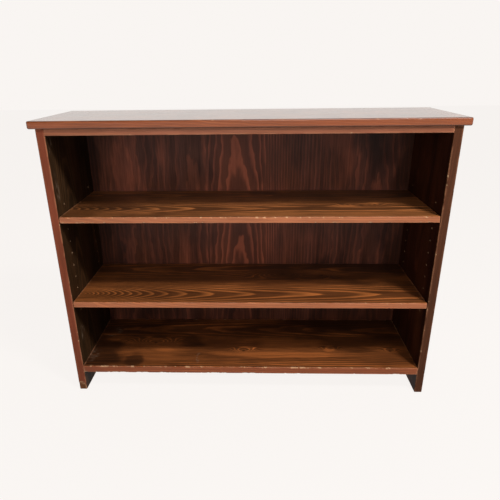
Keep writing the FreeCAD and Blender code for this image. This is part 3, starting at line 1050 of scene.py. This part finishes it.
# %% [markdown]
# A pin rubs the mouth of its hole bare, and the eye finds that pale ring first. A thin turned
# sleeve lines each mouth.

# %% Pale hole mouths
MOUTH_R = HOLE_R - 0.0003
LIP_R = HOLE_R + 0.0007
SLEEVE_R = HOLE_R - 0.0001
MOUTH_DEPTH = 0.004
LIP_DEPTH = 0.0002
RIM_PROUD = 0.00015
MOUTH_SIDES = 20
rim_outline = [
    (MOUTH_R, MOUTH_DEPTH), (MOUTH_R, LIP_DEPTH), (HOLE_R, -RIM_PROUD),
    (HOLE_R + 0.0005, -RIM_PROUD), (LIP_R, LIP_DEPTH), (SLEEVE_R, MOUTH_DEPTH),
    (MOUTH_R, MOUTH_DEPTH),
]
for side, sign in (("left", -1), ("right", 1)):
    low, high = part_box(side + "_side")
    inner = high.x if sign < 0 else low.x
    rims = lathe(side + "_hole_mouths", rim_outline, (sign, 0, 0), MOUTH_SIDES)
    set_out_holes(rims, inner, 3)
    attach(rims, ROOT_BODY)
    print(rims.name, "has", len(rims.data.polygons), "faces")

# %% [markdown]
# The nails are turned items too, in two rows across the panel and two upright ones. A nail
# driven by hand never stands quite like its neighbour, so each is sunk a little more or less.

# %% Nails round the back panel
NAIL_R = 0.0008
NAIL_HEAD_R = 0.0019
NAIL_SIDES = 14
NAIL_LOOSE = 0.0003
NAIL_COLUMNS = 8
NAIL_ROWS = 6
END_MARGIN = 0.060
nails_low, nails_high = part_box("back_nails")
panel_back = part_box("back_panel")[1].y
nail_length = panel_back - nails_low.y
head_height = nails_high.y - panel_back
nail_outline = [
    (NAIL_R * 0.1, nail_length), (NAIL_R * 0.7, nail_length - 0.001), (NAIL_R, nail_length - 0.003),
    (NAIL_R, 0.0), (NAIL_HEAD_R, 0.0), (NAIL_HEAD_R, -head_height * 0.7),
    (NAIL_HEAD_R * 0.85, -head_height), (NAIL_HEAD_R * 0.1, -head_height * 0.9),
]
left_x = nails_low.x + NAIL_HEAD_R
low_z = nails_low.z + NAIL_HEAD_R
high_z = nails_high.z - NAIL_HEAD_R
inside_low, inside_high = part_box("bottom_shelf")
row_start = inside_low.x + END_MARGIN
row_step = (inside_high.x - inside_low.x - 2 * END_MARGIN) / (NAIL_COLUMNS - 1)
column_step = (high_z - low_z - 2 * END_MARGIN) / (NAIL_ROWS - 1)

across = lathe("nails_across", nail_outline, (0, -1, 0), NAIL_SIDES)
set_out(across, (row_start, panel_back, low_z), (row_step, 0, 0), NAIL_COLUMNS,
        (0, 0, high_z - low_z), 2, (0, 1, 0), zinc, loose=NAIL_LOOSE, seed=5)
upright = lathe("nails_upright", nail_outline, (0, -1, 0), NAIL_SIDES)
set_out(upright, (left_x, panel_back, low_z + END_MARGIN), (0, 0, column_step), NAIL_ROWS,
        (-2 * left_x, 0, 0), 2, (0, 1, 0), zinc, loose=NAIL_LOOSE, seed=6)
for nails in (across, upright):
    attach(nails, ROOT_BODY)
    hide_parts("back_nails")
print("nails:", 2 * (NAIL_COLUMNS + NAIL_ROWS))

# %% [markdown]
# The panel, the supports, the dowels and the screws already have the right shape, so they only get
# a finish. The panel is thin softwood stood on end, and its staves are wide and soft in figure.

# %% Finishes for the pieces that keep their shape
def refinish(node, material):
    """Give a CAD piece a new finish."""
    mesh = frame["nodes"][node].data
    mesh.materials.clear()
    mesh.materials.append(material)


refinish("back_panel", panel_finish)
for node in ("subtop_dowels", "bottom_shelf_dowels"):
    refinish(node, beech)
metal_nodes = [n for n in frame["nodes"] if n.endswith("_support") or n == "top_screws"]
for node in metal_nodes:
    refinish(node, zinc)
print("metal pieces:", metal_nodes)

# %% [markdown]
# The light comes from above and in front, a little to the right, so each board throws a slanting
# shadow on the shelf below and the backs of the bays fall dark. The room behind the bookcase is
# pale and the one in front is dim. That keeps the fronts rich in colour, while the lacquered top,
# seen at a low angle, mirrors the pale side.

# %% Floor, world and lights
PALE = (0.947, 0.913, 0.887)
WORLD_BACK = 0.98
FLOOR_SIZE = 12.0
FLOOR_SHARE = 0.04
FLOOR_SEEN = 0.96
FLOOR_GLOW = 0.45


def camera_only(g, seen, felt):
    """One value for what is seen directly, another for the light that is given off."""
    direct = g.add("ShaderNodeLightPath").outputs["Is Camera Ray"]
    indirect = g.math("SUBTRACT", 1.0, direct)
    return g.math("MULTIPLY_ADD", indirect, felt, g.math("MULTIPLY", direct, seen))


def pale_floor():
    """A wide plain floor that looks evenly pale and gives off only a little light."""
    bm = bmesh.new()
    bmesh.ops.create_grid(bm, x_segments=8, y_segments=8, size=FLOOR_SIZE)
    floor = new_piece("floor", bm)
    material = bpy.data.materials.new("pale_floor")
    material.use_nodes = True
    g = Graph(material.node_tree)
    shader = material.node_tree.nodes["Principled BSDF"]
    g.feed(shader.inputs["Base Color"], (*[FLOOR_SHARE * c for c in PALE], 1.0))
    g.feed(shader.inputs["Roughness"], 0.9)
    g.feed(shader.inputs["Specular IOR Level"], 0.0)
    g.feed(shader.inputs["Emission Color"], (*PALE, 1.0))
    g.feed(shader.inputs["Emission Strength"], camera_only(g, FLOOR_SEEN, FLOOR_GLOW))
    floor.data.materials.append(material)


def pale_world():
    """Even and pale to the camera. Its light comes mostly from behind the bookcase."""
    world = bpy.data.worlds.new("pale_room")
    world.use_nodes = True
    g = Graph(world.node_tree)
    background = world.node_tree.nodes["Background"]
    _, y, _ = g.split(g.add("ShaderNodeTexCoord").outputs["Generated"])
    g.feed(background.inputs["Color"], (*PALE, 1.0))
    felt = g.ramp(y, 0.0, 0.5, 0.0, WORLD_BACK)
    g.feed(background.inputs["Strength"], camera_only(g, 1.0, felt))
    scene.world = world


def area_light(name, place, target, size, power, mirrored):
    """A square soft light that faces a target. Lacquer shows no glint of one that isn't mirrored."""
    data = bpy.data.lights.new(name, "AREA")
    data.size = size
    data.energy = power
    light = bpy.data.objects.new(name, data)
    light.location = place
    aim = Vector(target) - Vector(place)
    light.rotation_euler = aim.to_track_quat("-Z", "Y").to_euler()
    light.visible_glossy = mirrored
    scene.collection.objects.link(light)


pale_floor()
pale_world()
scene.view_settings.view_transform = "Standard"
area_light("key", place=(1.35, -1.49, 3.00), target=(0.0, -0.1, 0.4), size=0.45, power=100.0,
           mirrored=False)
area_light("fill", place=(0.75, -1.75, 2.6), target=(0.0, 0.0, 0.5), size=2.0, power=32.0,
           mirrored=True)
area_light("front", place=(-0.45, -2.5, 1.3), target=(0.0, 0.0, 0.5), size=1.5, power=24.0,
           mirrored=False)
print("lights:", [light.name for light in bpy.data.lights])

# %% [markdown]
